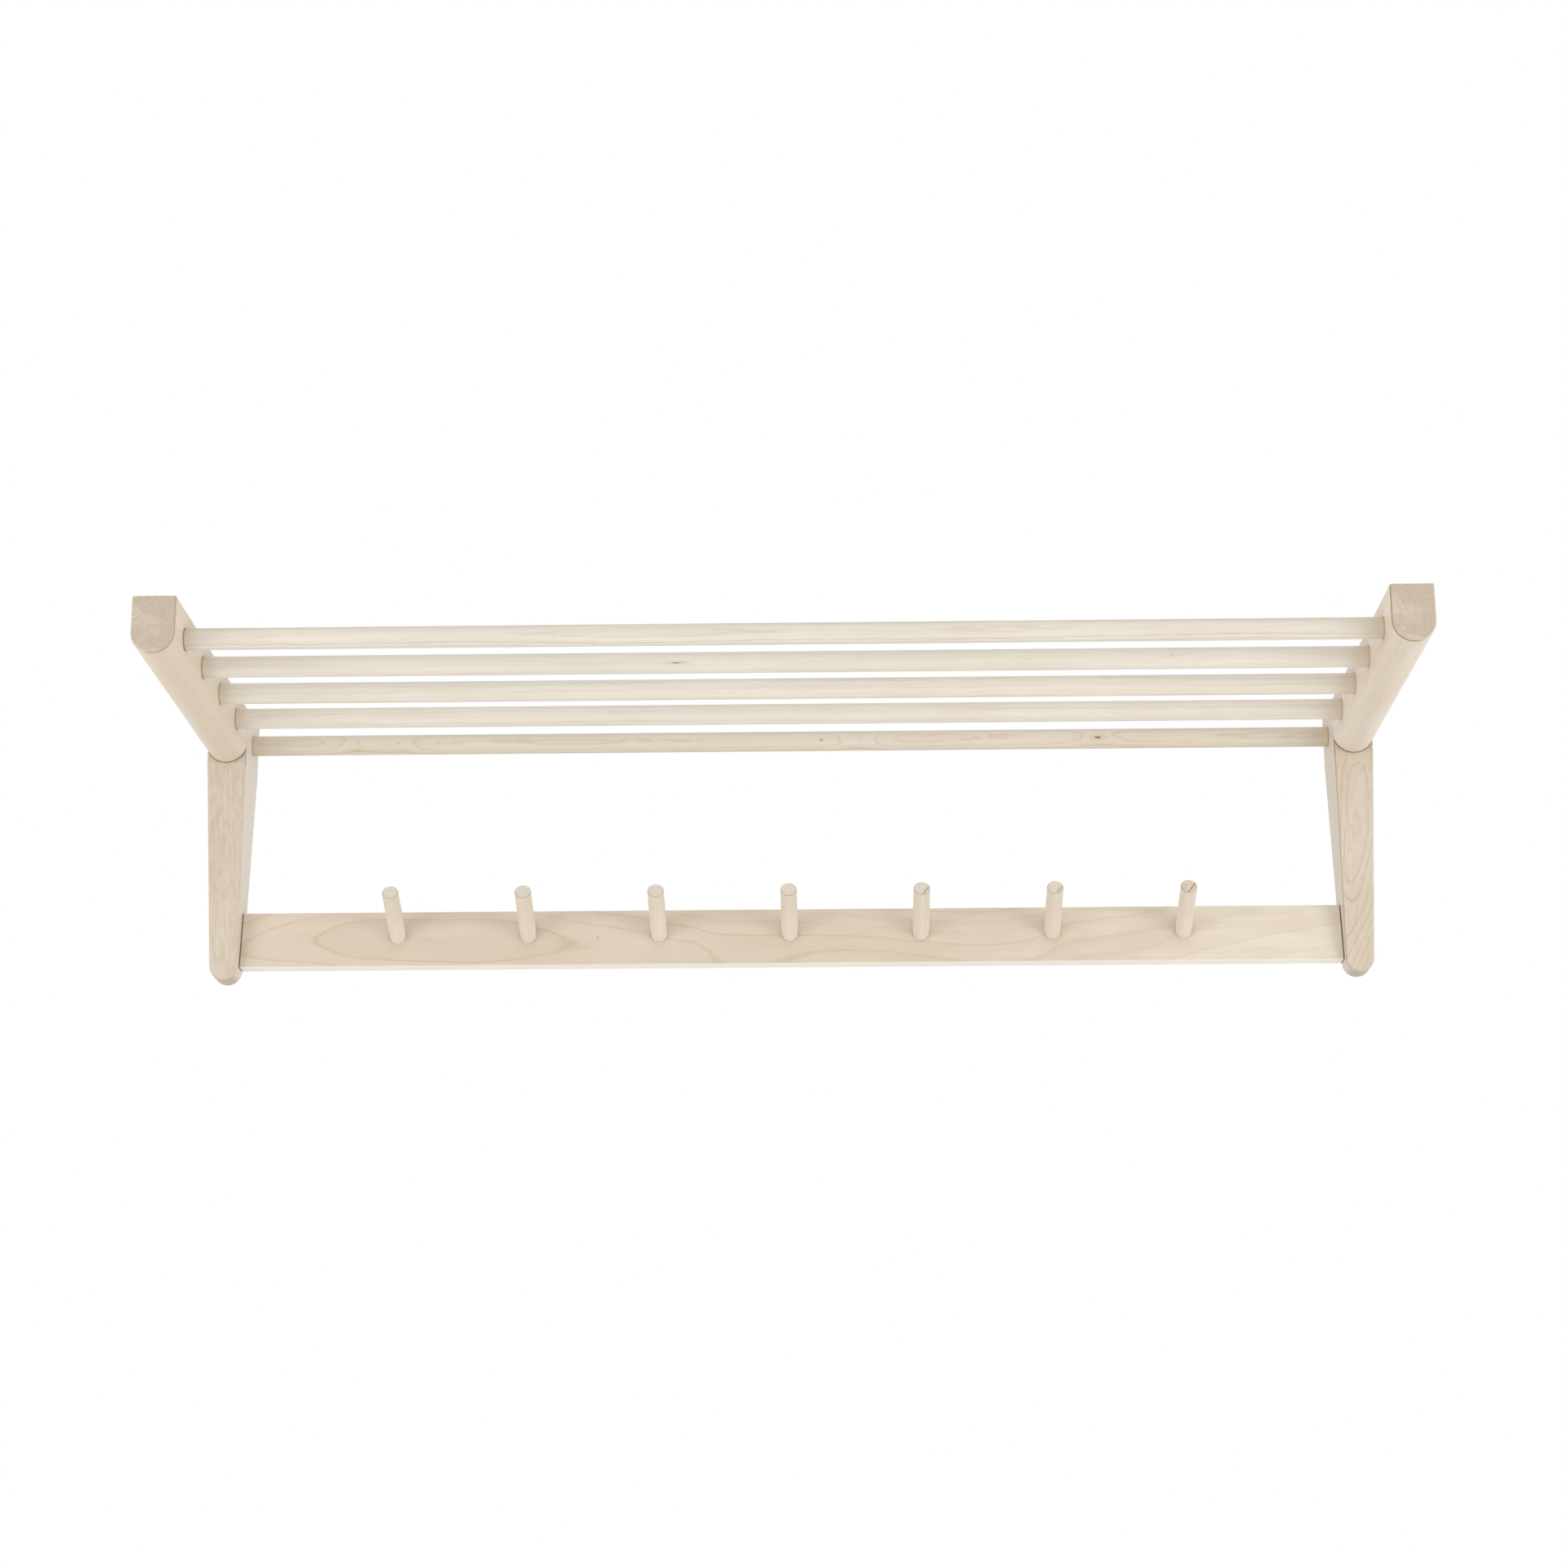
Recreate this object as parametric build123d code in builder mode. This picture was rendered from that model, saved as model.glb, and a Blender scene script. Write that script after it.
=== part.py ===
from build123d import *
from math import asin, atan2, cos, hypot, radians, sin, tan
import os

# Wall rack: a shelf of five round bars carried on two brackets, with a
# peg rail between the bracket feet. Millimetres.
# The wall is the plane Y = 0 and the rack stands out towards -Y.
# The origin is midway between the two hanging holes, on the wall plane.

# overall
overall_width = 800.0         # over the outer sides of the arms
shelf_depth = 287.0           # wall to the front ends of the arms
hanging_drop = 56.0           # top of the arms down to the hanging holes

# arms, a square top on a half-round underside
arm_width = 27.5
arm_height = 37.5
arm_top_ease = 0.9            # rounding of the two long top edges
arm_end_ease = 1.1            # rounding around the front end

# uprights, square behind the arm, tapered both ways below it
upright_height = 184.5
upright_top_width = 26.5
upright_top_depth = 45.0
upright_foot_width = 19.4     # the foot is a full half-round of this width
upright_foot_depth = 17.5
upright_foot_shift = 1.1      # foot's centre line, out from that of the arm
upright_ease = 1.2            # rounding of the long front edges

# shelf bars
bar_diameter = 13.7           # 14 mm stock, sanded
bar_drop = 18.5               # top of the arms down to the bar centres
arm_bars = 4                  # bars carried by the arms, evenly spaced
front_bar_setback = 31.0      # front of the arms back to the first bar
inner_bar_setback = 39.1      # front of the uprights out to the last of them
rear_bar_setback = 18.5       # wall out to the one bar in the uprights
bar_socket_depth = 15.0       # into the inner side of each arm

# peg rail
rail_height = 38.0
rail_thickness = 14.0
rail_foot_margin = 9.5        # foot of the uprights up to the bottom of the rail
rail_ease = 0.9               # rounding of the long edges of the rail

# pegs, dowels that lean upwards and draw in a little towards the tip
peg_count = 7
peg_side_margin = 131.0       # outer sides of the arms in to the end pegs
peg_diameter = 11.5           # 12 mm stock, sanded
peg_tip_diameter = 11.0
peg_lean = 25.0               # degrees above level
peg_reach = 47.0              # along the peg, out of the face of the rail
peg_seat = 10.0               # along the peg, into the rail
peg_rise = 2.8                # middle of the rail up to the peg axis
peg_tip_ease = 0.8

# glued dowels between each arm and its upright
arm_dowel_diameter = 8.0
arm_dowel_length = 30.0
arm_dowel_spacing = 18.0

# glued dowels between each end of the rail and its upright
rail_dowel_diameter = 6.0
rail_dowel_length = 22.0
rail_dowel_spacing = 18.0

# keyhole plates, let into the back of each upright
plate_width = 14.0
plate_thickness = 1.5
keyhole_diameter = 9.0        # round hole that passes over a screw head
keyslot_width = 4.5           # slot that the plate drops onto
keyslot_rise = 10.0           # middle of the round hole up to the slot's end
head_pocket_width = 11.0      # room behind the plate for the wall screw's head
head_pocket_depth = 7.0
plate_land = 6.25             # middle of a plate screw out to the keyhole's rim

# countersunk screws of the keyhole plates
screw_diameter = 3.0
screw_head_diameter = 5.6
screw_length = 13.0
screw_tip_length = 3.0
screw_recess_width = 0.7      # each arm of the cross in the head
screw_recess_span = 3.0
screw_recess_depth = 0.9

# fits
glue_gap = 0.1                # around a dowel, bar or peg in its hole
end_gap = 0.3                 # past the end of a dowel, bar or peg in its hole
seam_gap = 0.15               # arm to upright
rail_end_gap = 0.4            # rail to upright, parallel to its side
plate_gap = 0.1               # around a plate in its recess
screw_gap = 0.1               # around a screw in its hole

# levels and places that follow from the sizes
top_z = hanging_drop
arm_x = (overall_width - arm_width) / 2
shoulder_z = top_z - arm_height
foot_z = top_z - upright_height
foot_radius = upright_foot_width / 2
foot_centre_z = foot_z + foot_radius
bar_z = top_z - bar_drop
bar_length = overall_width - 2 * arm_width + 2 * bar_socket_depth
rail_top_z = foot_z + rail_foot_margin + rail_height
rail_middle_z = rail_top_z - rail_height / 2
peg_base_z = rail_middle_z + peg_rise
arm_dowel_z = top_z - arm_height / 2
plate_screw_low_z = -keyhole_diameter / 2 - plate_land
plate_screw_high_z = keyslot_rise + keyslot_width / 2 + plate_land
plate_middle_z = (plate_screw_low_z + plate_screw_high_z) / 2
plate_height = plate_screw_high_z - plate_screw_low_z + plate_width
head_taper = (screw_head_diameter - screw_diameter) / 2


def lean_to_foot(reach):
    """Lean of a side that leaves the shoulder this far from the foot's
    centre line and runs down to touch the foot's half-round."""
    rise = shoulder_z - foot_centre_z
    return atan2(reach, rise) - asin(foot_radius / hypot(reach, rise))


inner_lean = lean_to_foot(upright_top_width / 2 + upright_foot_shift)
outer_lean = lean_to_foot(upright_top_width / 2 - upright_foot_shift)


def rail_end_at(z):
    """Half the length of the rail at a level, short of the uprights' sides."""
    inner_side = arm_x - upright_top_width / 2 + (shoulder_z - z) * tan(inner_lean)
    return inner_side - rail_end_gap


first_bar_y = -shelf_depth + front_bar_setback
last_bar_y = -upright_top_depth - inner_bar_setback
bar_pitch = (last_bar_y - first_bar_y) / (arm_bars - 1)
arm_bar_places = [(first_bar_y + number * bar_pitch, bar_z) for number in range(arm_bars)]
bar_places = arm_bar_places + [(-rear_bar_setback, bar_z)]
sides = ((-1, "left"), (1, "right"))
arm_dowel_levels = [
    arm_dowel_z + arm_dowel_spacing / 2,
    arm_dowel_z - arm_dowel_spacing / 2,
]
rail_dowel_levels = [
    rail_middle_z + rail_dowel_spacing / 2,
    rail_middle_z - rail_dowel_spacing / 2,
]
rail_dowel_y = -rail_thickness / 2
rail_dowel_start = rail_end_at(rail_middle_z) - rail_dowel_length / 2
peg_span = overall_width - 2 * peg_side_margin
peg_pitch = peg_span / (peg_count - 1)
peg_axis = Vector(0, -cos(radians(peg_lean)), sin(radians(peg_lean)))
peg_planes = [
    Plane(
        Vector(number * peg_pitch - peg_span / 2, -rail_thickness, peg_base_z)
        - peg_axis * peg_seat,
        (1, 0, 0),
        peg_axis,
    )
    for number in range(peg_count)
]
plate_screw_places = [
    (side * arm_x, z)
    for side, _ in sides
    for z in (plate_screw_low_z, plate_screw_high_z)
]


def save(piece, name):
    """Label a finished piece and write it as one STEP file."""
    piece.part.label = name
    export_step(piece.part, f"parts/{name}.step")


os.makedirs("parts", exist_ok=True)

# arms
arm_length = shelf_depth - upright_top_depth - seam_gap
for side, word in sides:
    with BuildPart() as arm:
        with BuildSketch(Plane.XZ.offset(upright_top_depth + seam_gap)):
            with Locations((side * arm_x, top_z - (arm_height - arm_width / 2) / 2)):
                Rectangle(arm_width, arm_height - arm_width / 2)
            with Locations((side * arm_x, top_z - arm_height + arm_width / 2)):
                Circle(arm_width / 2)
        extrude(amount=arm_length)
        fillet(arm.edges().filter_by(Axis.Y).group_by(Axis.Z)[-1], arm_top_ease)
        fillet(arm.faces().sort_by(Axis.Y)[0].edges(), arm_end_ease)
        # blind sockets for the bars, from the inner side
        with BuildSketch(Plane.YZ.offset(side * (arm_x - arm_width / 2))):
            with Locations(*arm_bar_places):
                Circle(bar_diameter / 2 + glue_gap)
        extrude(amount=side * (bar_socket_depth + end_gap), mode=Mode.SUBTRACT)
        # dowel holes in the rear end
        with BuildSketch(Plane.XZ.offset(upright_top_depth)):
            with Locations(*[(side * arm_x, z) for z in arm_dowel_levels]):
                Circle(arm_dowel_diameter / 2 + glue_gap)
        extrude(amount=arm_dowel_length / 2 + end_gap, mode=Mode.SUBTRACT)
    save(arm, f"{word}_arm")

# uprights
for side, word in sides:
    upright_x = side * arm_x
    with BuildPart() as upright:
        # the side view: upright behind the arm, then tapered to the foot
        with BuildSketch(Plane.YZ.offset(upright_x)):
            with BuildLine():
                Polyline(
                    (0, top_z),
                    (-upright_top_depth, top_z),
                    (-upright_top_depth, shoulder_z),
                    (-upright_foot_depth, foot_z),
                    (0, foot_z),
                    close=True,
                )
            make_face()
        extrude(amount=upright_top_width, both=True)
        # the front view: square top, leaning sides, half-round foot, with
        # places along X counted outwards from the arm's centre line
        inner_touch = (
            side * (upright_foot_shift - foot_radius * cos(inner_lean)),
            foot_centre_z - foot_radius * sin(inner_lean),
        )
        outer_touch = (
            side * (upright_foot_shift + foot_radius * cos(outer_lean)),
            foot_centre_z - foot_radius * sin(outer_lean),
        )
        with BuildSketch(Plane((upright_x, 0, 0), (1, 0, 0), (0, -1, 0))):
            with BuildLine():
                Polyline(
                    inner_touch,
                    (-side * upright_top_width / 2, shoulder_z),
                    (-side * upright_top_width / 2, top_z),
                    (side * upright_top_width / 2, top_z),
                    (side * upright_top_width / 2, shoulder_z),
                    outer_touch,
                )
                ThreePointArc(outer_touch, (side * upright_foot_shift, foot_z), inner_touch)
            make_face()
        extrude(amount=upright_top_depth, mode=Mode.INTERSECT)
        # ease the outline of the front, which bends at the shoulder
        front_faces = upright.faces().filter_by(
            lambda face: face.normal_at().Y < -0.5
        )
        front_rim = [
            edge
            for edge in front_faces.edges()
            if len([face for face in front_faces if edge in face.edges()]) == 1
        ]
        fillet(front_rim, upright_ease)
        # blind socket for the rear bar, from the inner side
        with BuildSketch(Plane.YZ.offset(side * (arm_x - arm_width / 2))):
            with Locations((-rear_bar_setback, bar_z)):
                Circle(bar_diameter / 2 + glue_gap)
        extrude(amount=side * (bar_socket_depth + end_gap), mode=Mode.SUBTRACT)
        # dowel holes for the arm, in the front
        with BuildSketch(Plane.XZ.offset(upright_top_depth)):
            with Locations(*[(upright_x, z) for z in arm_dowel_levels]):
                Circle(arm_dowel_diameter / 2 + glue_gap)
        extrude(amount=-(arm_dowel_length / 2 + end_gap), mode=Mode.SUBTRACT)
        # dowel holes for the rail, in the inner side
        with BuildSketch(Plane.YZ.offset(side * rail_dowel_start)):
            with Locations(*[(rail_dowel_y, z) for z in rail_dowel_levels]):
                Circle(rail_dowel_diameter / 2 + glue_gap)
        extrude(amount=side * (rail_dowel_length + end_gap), mode=Mode.SUBTRACT)
        # recess for the keyhole plate, and room behind it for the screw head
        with BuildSketch(Plane.XZ):
            with Locations((upright_x, plate_middle_z)):
                SlotOverall(plate_height + 2 * plate_gap, plate_width + 2 * plate_gap, rotation=90)
        extrude(amount=plate_thickness, mode=Mode.SUBTRACT)
        with BuildSketch(Plane.XZ.offset(plate_thickness)):
            with Locations((upright_x, keyslot_rise / 2)):
                SlotCenterToCenter(keyslot_rise, head_pocket_width, rotation=90)
        extrude(amount=head_pocket_depth, mode=Mode.SUBTRACT)
        # pilot holes for the plate's screws
        with BuildSketch(Plane.XZ.offset(plate_thickness)):
            with Locations(*[place for place in plate_screw_places if place[0] * side > 0]):
                Circle(screw_diameter / 2 + screw_gap)
        extrude(amount=screw_length - plate_thickness + end_gap, mode=Mode.SUBTRACT)
    save(upright, f"{word}_upright")

# shelf bars, alike, numbered from the front
for number, (y, z) in enumerate(bar_places, start=1):
    with BuildPart() as bar:
        with BuildSketch(Plane.YZ):
            with Locations((y, z)):
                Circle(bar_diameter / 2)
        extrude(amount=bar_length / 2, both=True)
    save(bar, f"shelf_bar_{number}")

# peg rail
with BuildPart() as peg_rail:
    with BuildSketch(Plane.XZ):
        with BuildLine():
            Polyline(
                (-rail_end_at(rail_top_z), rail_top_z),
                (rail_end_at(rail_top_z), rail_top_z),
                (rail_end_at(rail_top_z - rail_height), rail_top_z - rail_height),
                (-rail_end_at(rail_top_z - rail_height), rail_top_z - rail_height),
                close=True,
            )
        make_face()
    extrude(amount=rail_thickness)
    fillet(peg_rail.edges().filter_by(Axis.X), rail_ease)
    for plane in peg_planes:
        with BuildSketch(plane.offset(-end_gap)):
            Circle(peg_diameter / 2 + glue_gap)
        extrude(amount=peg_seat + end_gap + peg_diameter, mode=Mode.SUBTRACT)
    for side, _ in sides:
        with BuildSketch(Plane.YZ.offset(side * (rail_dowel_start - end_gap))):
            with Locations(*[(rail_dowel_y, z) for z in rail_dowel_levels]):
                Circle(rail_dowel_diameter / 2 + glue_gap)
        extrude(amount=side * rail_dowel_length, mode=Mode.SUBTRACT)
save(peg_rail, "peg_rail")

# pegs, alike, numbered from the left
for number, plane in enumerate(peg_planes, start=1):
    with BuildPart() as peg:
        with BuildSketch(plane):
            Circle(peg_diameter / 2)
        extrude(amount=peg_seat)
        with Locations(plane.offset(peg_seat)):
            Cone(
                peg_diameter / 2,
                peg_tip_diameter / 2,
                peg_reach,
                align=(Align.CENTER, Align.CENTER, Align.MIN),
            )
        fillet(peg.faces().sort_by(Axis.Y)[0].edges(), peg_tip_ease)
    save(peg, f"peg_{number}")

# dowels between arm and upright, two on each side
for side, word in sides:
    with BuildPart() as arm_dowels:
        with BuildSketch(Plane.XZ.offset(upright_top_depth)):
            with Locations(*[(side * arm_x, z) for z in arm_dowel_levels]):
                Circle(arm_dowel_diameter / 2)
        extrude(amount=arm_dowel_length / 2, both=True)
    save(arm_dowels, f"{word}_arm_dowels")

# dowels between rail and upright, two on each side
for side, word in sides:
    with BuildPart() as rail_dowels:
        with BuildSketch(Plane.YZ.offset(side * rail_dowel_start)):
            with Locations(*[(rail_dowel_y, z) for z in rail_dowel_levels]):
                Circle(rail_dowel_diameter / 2)
        extrude(amount=side * rail_dowel_length)
    save(rail_dowels, f"{word}_rail_dowels")

# keyhole plates
for side, word in sides:
    with BuildPart() as plate:
        with BuildSketch(Plane.XZ):
            with Locations((side * arm_x, plate_middle_z)):
                SlotOverall(plate_height, plate_width, rotation=90)
            with Locations((side * arm_x, 0)):
                Circle(keyhole_diameter / 2, mode=Mode.SUBTRACT)
            with Locations((side * arm_x, keyslot_rise / 2)):
                SlotCenterToCenter(keyslot_rise, keyslot_width, rotation=90, mode=Mode.SUBTRACT)
        extrude(amount=plate_thickness)
        with Locations(*[Plane((x, 0, z), (1, 0, 0), (0, 1, 0)) for x, z in plate_screw_places]):
            CounterSinkHole(
                radius=screw_diameter / 2 + screw_gap,
                counter_sink_radius=screw_head_diameter / 2 + screw_gap,
                depth=plate_thickness,
                counter_sink_angle=90,
            )
    save(plate, f"{word}_keyhole_plate")

# screws of the keyhole plates
with BuildPart() as plate_screws:
    for x, z in plate_screw_places:
        with BuildSketch(Plane((x, 0, z), (1, 0, 0), (0, 0, 1))):
            with BuildLine():
                Polyline(
                    (0, 0),
                    (screw_head_diameter / 2, 0),
                    (screw_diameter / 2, -head_taper),
                    (screw_diameter / 2, -(screw_length - screw_tip_length)),
                    (0, -screw_length),
                    close=True,
                )
            make_face()
        revolve(axis=Axis((x, 0, z), (0, 1, 0)))
    with BuildSketch(Plane.XZ):
        with Locations(*plate_screw_places):
            Rectangle(screw_recess_span, screw_recess_width)
            Rectangle(screw_recess_width, screw_recess_span)
    extrude(amount=screw_recess_depth, mode=Mode.SUBTRACT)
save(plate_screws, "plate_screws")
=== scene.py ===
import math
import bpy
from mathutils import Matrix, Vector


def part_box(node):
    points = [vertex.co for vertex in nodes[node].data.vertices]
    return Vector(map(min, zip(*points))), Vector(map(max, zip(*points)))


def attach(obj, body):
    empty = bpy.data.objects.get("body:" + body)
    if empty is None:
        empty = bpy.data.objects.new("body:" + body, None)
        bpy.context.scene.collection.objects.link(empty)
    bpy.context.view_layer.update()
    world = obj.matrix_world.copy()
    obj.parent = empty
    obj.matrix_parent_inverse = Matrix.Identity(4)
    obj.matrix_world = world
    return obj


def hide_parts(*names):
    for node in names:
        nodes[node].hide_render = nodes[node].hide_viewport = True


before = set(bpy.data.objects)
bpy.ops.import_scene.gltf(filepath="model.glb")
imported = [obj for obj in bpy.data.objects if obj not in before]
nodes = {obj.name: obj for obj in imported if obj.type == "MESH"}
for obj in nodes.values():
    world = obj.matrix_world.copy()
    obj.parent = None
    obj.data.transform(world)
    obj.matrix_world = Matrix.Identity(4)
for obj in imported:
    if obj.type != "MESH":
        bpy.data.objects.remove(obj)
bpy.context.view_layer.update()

mm = 0.001
perMetre = 1000.0
toMillimetres = (perMetre,) * 3
quarterTurn = math.pi / 2
origin = (0.0, 0.0, 0.0)
print("frame loaded:", len(nodes), "nodes")

current = {}   # "tree": the node tree that new nodes go into


def srgb(red, green, blue):
    # screen colour 0-255 to the linear values that a socket takes
    def linear(value):
        value /= 255
        return value / 12.92 if value <= 0.04045 else ((value + 0.055) / 1.055) ** 2.4
    return (linear(red), linear(green), linear(blue), 1.0)


class Wire:
    # an output that can stand in a formula: each step of the formula becomes a math node
    def __init__(self, socket):
        self.socket = socket
        self.isVector = socket.type in ("VECTOR", "RGBA")

    __abs__ = lambda self: calc("ABSOLUTE", self)
    __add__ = lambda self, other: calc("ADD", self, other)
    __radd__ = lambda self, other: calc("ADD", other, self)
    __sub__ = lambda self, other: calc("SUBTRACT", self, other)
    __rsub__ = lambda self, other: calc("SUBTRACT", other, self)
    __mul__ = lambda self, other: calc("MULTIPLY", self, other)
    __rmul__ = lambda self, other: calc("MULTIPLY", other, self)
    __truediv__ = lambda self, other: calc("DIVIDE", self, other)
    __rtruediv__ = lambda self, other: calc("DIVIDE", other, self)


def feed(socket, value):
    # a socket takes either a wire or a plain value
    if isinstance(value, Wire):
        socket.id_data.links.new(value.socket, socket)
    else:
        socket.default_value = value


def addNode(kind, inputs=None, **settings):
    node = current["tree"].nodes.new(kind)
    for name, value in settings.items():
        setattr(node, name, value)
    for name, value in (inputs or {}).items():
        feed(node.inputs[name], value)
    return node


def place(kind, inputs=None, output=0, **settings):
    # adds a node and gives the wire from one of its outputs
    return Wire(addNode(kind, inputs, **settings).outputs[output])


def calc(operation, *values, clamp=False):
    # a Vector Math node where vectors or triples of numbers come in, otherwise a Math node
    inputs = dict(enumerate(values))
    if any(isinstance(value, tuple) or getattr(value, "isVector", False) for value in values):
        output = "Value" if operation in ("DOT_PRODUCT", "LENGTH") else "Vector"
        return place("ShaderNodeVectorMath", inputs, output, operation=operation)
    return place("ShaderNodeMath", inputs, operation=operation, use_clamp=clamp)


def split(vector):
    return [Wire(output) for output in addNode("ShaderNodeSeparateXYZ", {0: vector}).outputs]


def triple(x=0.0, y=0.0, z=0.0):
    return place("ShaderNodeCombineXYZ", {"X": x, "Y": y, "Z": z})


def ramp(value, low, high, outLow=0.0, outHigh=1.0, smooth=True):
    # values between low and high become outLow to outHigh
    ends = {"From Min": low, "From Max": high, "To Min": outLow, "To Max": outHigh}
    kind = "SMOOTHSTEP" if smooth else "LINEAR"
    return place("ShaderNodeMapRange", {"Value": value, **ends}, interpolation_type=kind)


def facing(normal, direction, low, high, bothWays=False):
    # how far a face looks in a direction
    along = calc("DOT_PRODUCT", normal, direction)
    return ramp(abs(along) if bothWays else along, low, high)


def mix(share, first, second):
    return place("ShaderNodeMix", {0: share, 6: first, 7: second}, 2, data_type="RGBA")


def tint(colour, mask, strength, other):
    # the colour turns into the other one where the mask says so
    return mix(mask * strength, colour, other)


def noise(vector, scale, detail=2.0, rough=0.5, distort=0.0, output="Fac"):
    return place("ShaderNodeTexNoise", {"Vector": vector, "Scale": scale, "Detail": detail,
        "Roughness": rough, "Distortion": distort}, output)


def dice(number):
    # a chance value between 0 and 1, the same each time for the same number
    return place("ShaderNodeTexWhiteNoise", {"W": number}, "Value", noise_dimensions="1D")


def same(rod, number):
    # 1 on the rod with this number, 0 on the others
    return calc("COMPARE", rod, number, 0.4)


def onRod(rod, number, extra, value):
    # the value, with something extra on one rod only
    return calc("MULTIPLY_ADD", same(rod, float(number)), extra, value)


def curve(value, points, handle="AUTO"):
    # through points whose place and level both lie between 0 and 1
    node = addNode("ShaderNodeFloatCurve", {"Value": value})
    made = node.mapping.curves[0].points
    for number, spot in enumerate(points):
        point = made[number] if number < 2 else made.new(*spot)
        point.location = spot
    for point in made:
        point.handle_type = handle
    node.mapping.update()
    return Wire(node.outputs[0])


def curveThrough(value, points):
    # the same for levels of any size
    levels = [level for _, level in points]
    low, high = min(levels), max(levels) + 1e-6
    line = curve(value, [(at, (level - low) / (high - low)) for at, level in points])
    return ramp(line, 0, 1, low, high, smooth=False)


def newTree(name, takes, gives=("Geometry",)):
    # takes: the inputs with their defaults, gives: a shape, or the names of numbers that come out
    isShape = "Geometry" in gives
    tree = bpy.data.node_groups.new(name, "GeometryNodeTree" if isShape else "ShaderNodeTree")
    current["tree"] = tree
    kinds = {float: "Float", int: "Int", tuple: "Vector", type(None): "Material"}
    for label, value in takes.items():
        kind = "NodeSocket" + kinds[type(value)]
        socket = tree.interface.new_socket(label, in_out="INPUT", socket_type=kind)
        if value is not None:
            socket.default_value = value
    for label in gives:
        kind = "NodeSocketGeometry" if isShape else "NodeSocketFloat"
        tree.interface.new_socket(label, in_out="OUTPUT", socket_type=kind)
    taken = {output.name: Wire(output) for output in addNode("NodeGroupInput").outputs if output.name}
    return tree, taken, addNode("NodeGroupOutput").inputs


def useGroup(group, inputs):
    node = addNode("ShaderNodeGroup", inputs, node_tree=group)
    return {output.name: Wire(output) for output in node.outputs}


def openNodes(owner):
    # the empty node tree of a material or the world
    owner.use_nodes = True
    owner.node_tree.nodes.clear()
    current["tree"] = owner.node_tree
    return owner


def addSurface(inputs):
    addNode("ShaderNodeOutputMaterial", {0: place("ShaderNodeBsdfPrincipled", inputs)})


def addObject(name, data):
    made = bpy.data.objects.new(name, data)
    bpy.context.scene.collection.objects.link(made)
    return made


def arrange(tree):
    # lays the nodes out in columns, each to the left of all that it feeds
    feeds, columns, rows = {}, {}, {}
    for link in tree.links:
        feeds.setdefault(link.from_node.name, []).append(link.to_node.name)
    for node in reversed(tree.nodes[:]):
        column = max((columns.get(name, 0) for name in feeds.get(node.name, [])), default=-1) + 1
        columns[node.name] = column
        rows[column] = rows.get(column, -1) + 1
        node.location = (-200 * column, -170 * rows[column])


# noise drawn out along the grain: cells per millimetre, and the part of the noise that shows
grainNoise = {
    "Fibres": {"cells": (0.014, 2.6, 2.6), "detail": 2.5, "distort": 0.0, "shows": (0.32, 0.68)},
    "Streaks": {"cells": (0.011, 0.55, 0.55), "detail": 3.0, "distort": 0.4, "shows": (0.38, 0.68)},
    "Clouds": {"cells": (0.012, 0.05, 0.05), "detail": 2.5, "distort": 0.0, "shows": (0.33, 0.67)},
}
# across one ring: it darkens slowly, has a thin dark edge, ends at once and leaves a faint tail
ringShape = [(0.25, 0.95, 0.0, 0.22), (0.8, 0.95, 0.0, 1.0), (0.95, 1.0, 1.0, 0.15), (0.0, 0.08, 0.15, 0.0)]
ringWander = {"across": 2.5, "detail": 1.5, "rough": 0.45, "shakeCells": (0.055, 0.3, 0.3)}
flecks = {"cells": 2.0, "shows": (0.66, 0.8)}


def makeSolidWood():
    # a log in millimetres: X runs along the grain, rings lie round the heart
    tree, taken, given = newTree("solidWood", {
        "Place": origin, "Seed": 0.0, "Heart Y": 0.0, "Heart Z": -60.0, "Ring Width": 5.0, "Sway": 3.0,
        "Sway Length": 120.0, "Jitter": 0.5, "Swell": 0.0, "Fleck Length": 6.0,
    }, ["Rings", "Tone", "Fibres", "Streaks", "Flecks", "Clouds"])
    seed = taken["Seed"]
    # each seed cuts from a part of the log far from the others
    spot = taken["Place"] + triple(seed * 371.0, seed * 53.0)
    # slow wander of the rings along the grain, and a fine shake
    lengthwise = 1.0 / taken["Sway Length"]
    across = lengthwise * ringWander["across"]
    slow = spot * triple(lengthwise, across, across)
    slow = noise(slow, 1.0, ringWander["detail"], ringWander["rough"], output="Color")
    swing = taken["Sway"] * 2.0
    wander = (slow - (0.5, 0.5, 0.5)) * triple(0.0, swing, swing)
    shake = (noise(spot * ringWander["shakeCells"], 1.0) - 0.5) * taken["Jitter"]
    _, y, z = split(taken["Place"] + wander)
    across, deep = y - taken["Heart Y"], z - taken["Heart Z"]
    fromHeart = calc("SQRT", across * across + deep * deep)
    fromHeart = fromHeart + calc("MULTIPLY_ADD", shake, 2.0, taken["Swell"])
    turns = fromHeart / taken["Ring Width"] + seed
    number, part = calc("FLOOR", turns), calc("FRACT", turns)
    band, rise, fall, tail = [ramp(part, *stretch) for stretch in ringShape]
    line = calc("MAXIMUM", calc("MAXIMUM", band, rise) * fall, tail)
    feed(given["Rings"], line * ramp(dice(number), 0.0, 1.0, 0.3, 1.0))
    feed(given["Tone"], dice(number + 17.3))
    for name, look in grainNoise.items():
        pattern = noise(spot * look["cells"], 1.0, look["detail"], 0.55, look["distort"])
        feed(given[name], ramp(pattern, *look["shows"]))
    dashes = spot * triple(1.0 / taken["Fleck Length"], flecks["cells"], flecks["cells"])
    feed(given["Flecks"], ramp(noise(dashes, 1.0, 1.0), *flecks["shows"]))
    return tree


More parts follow.
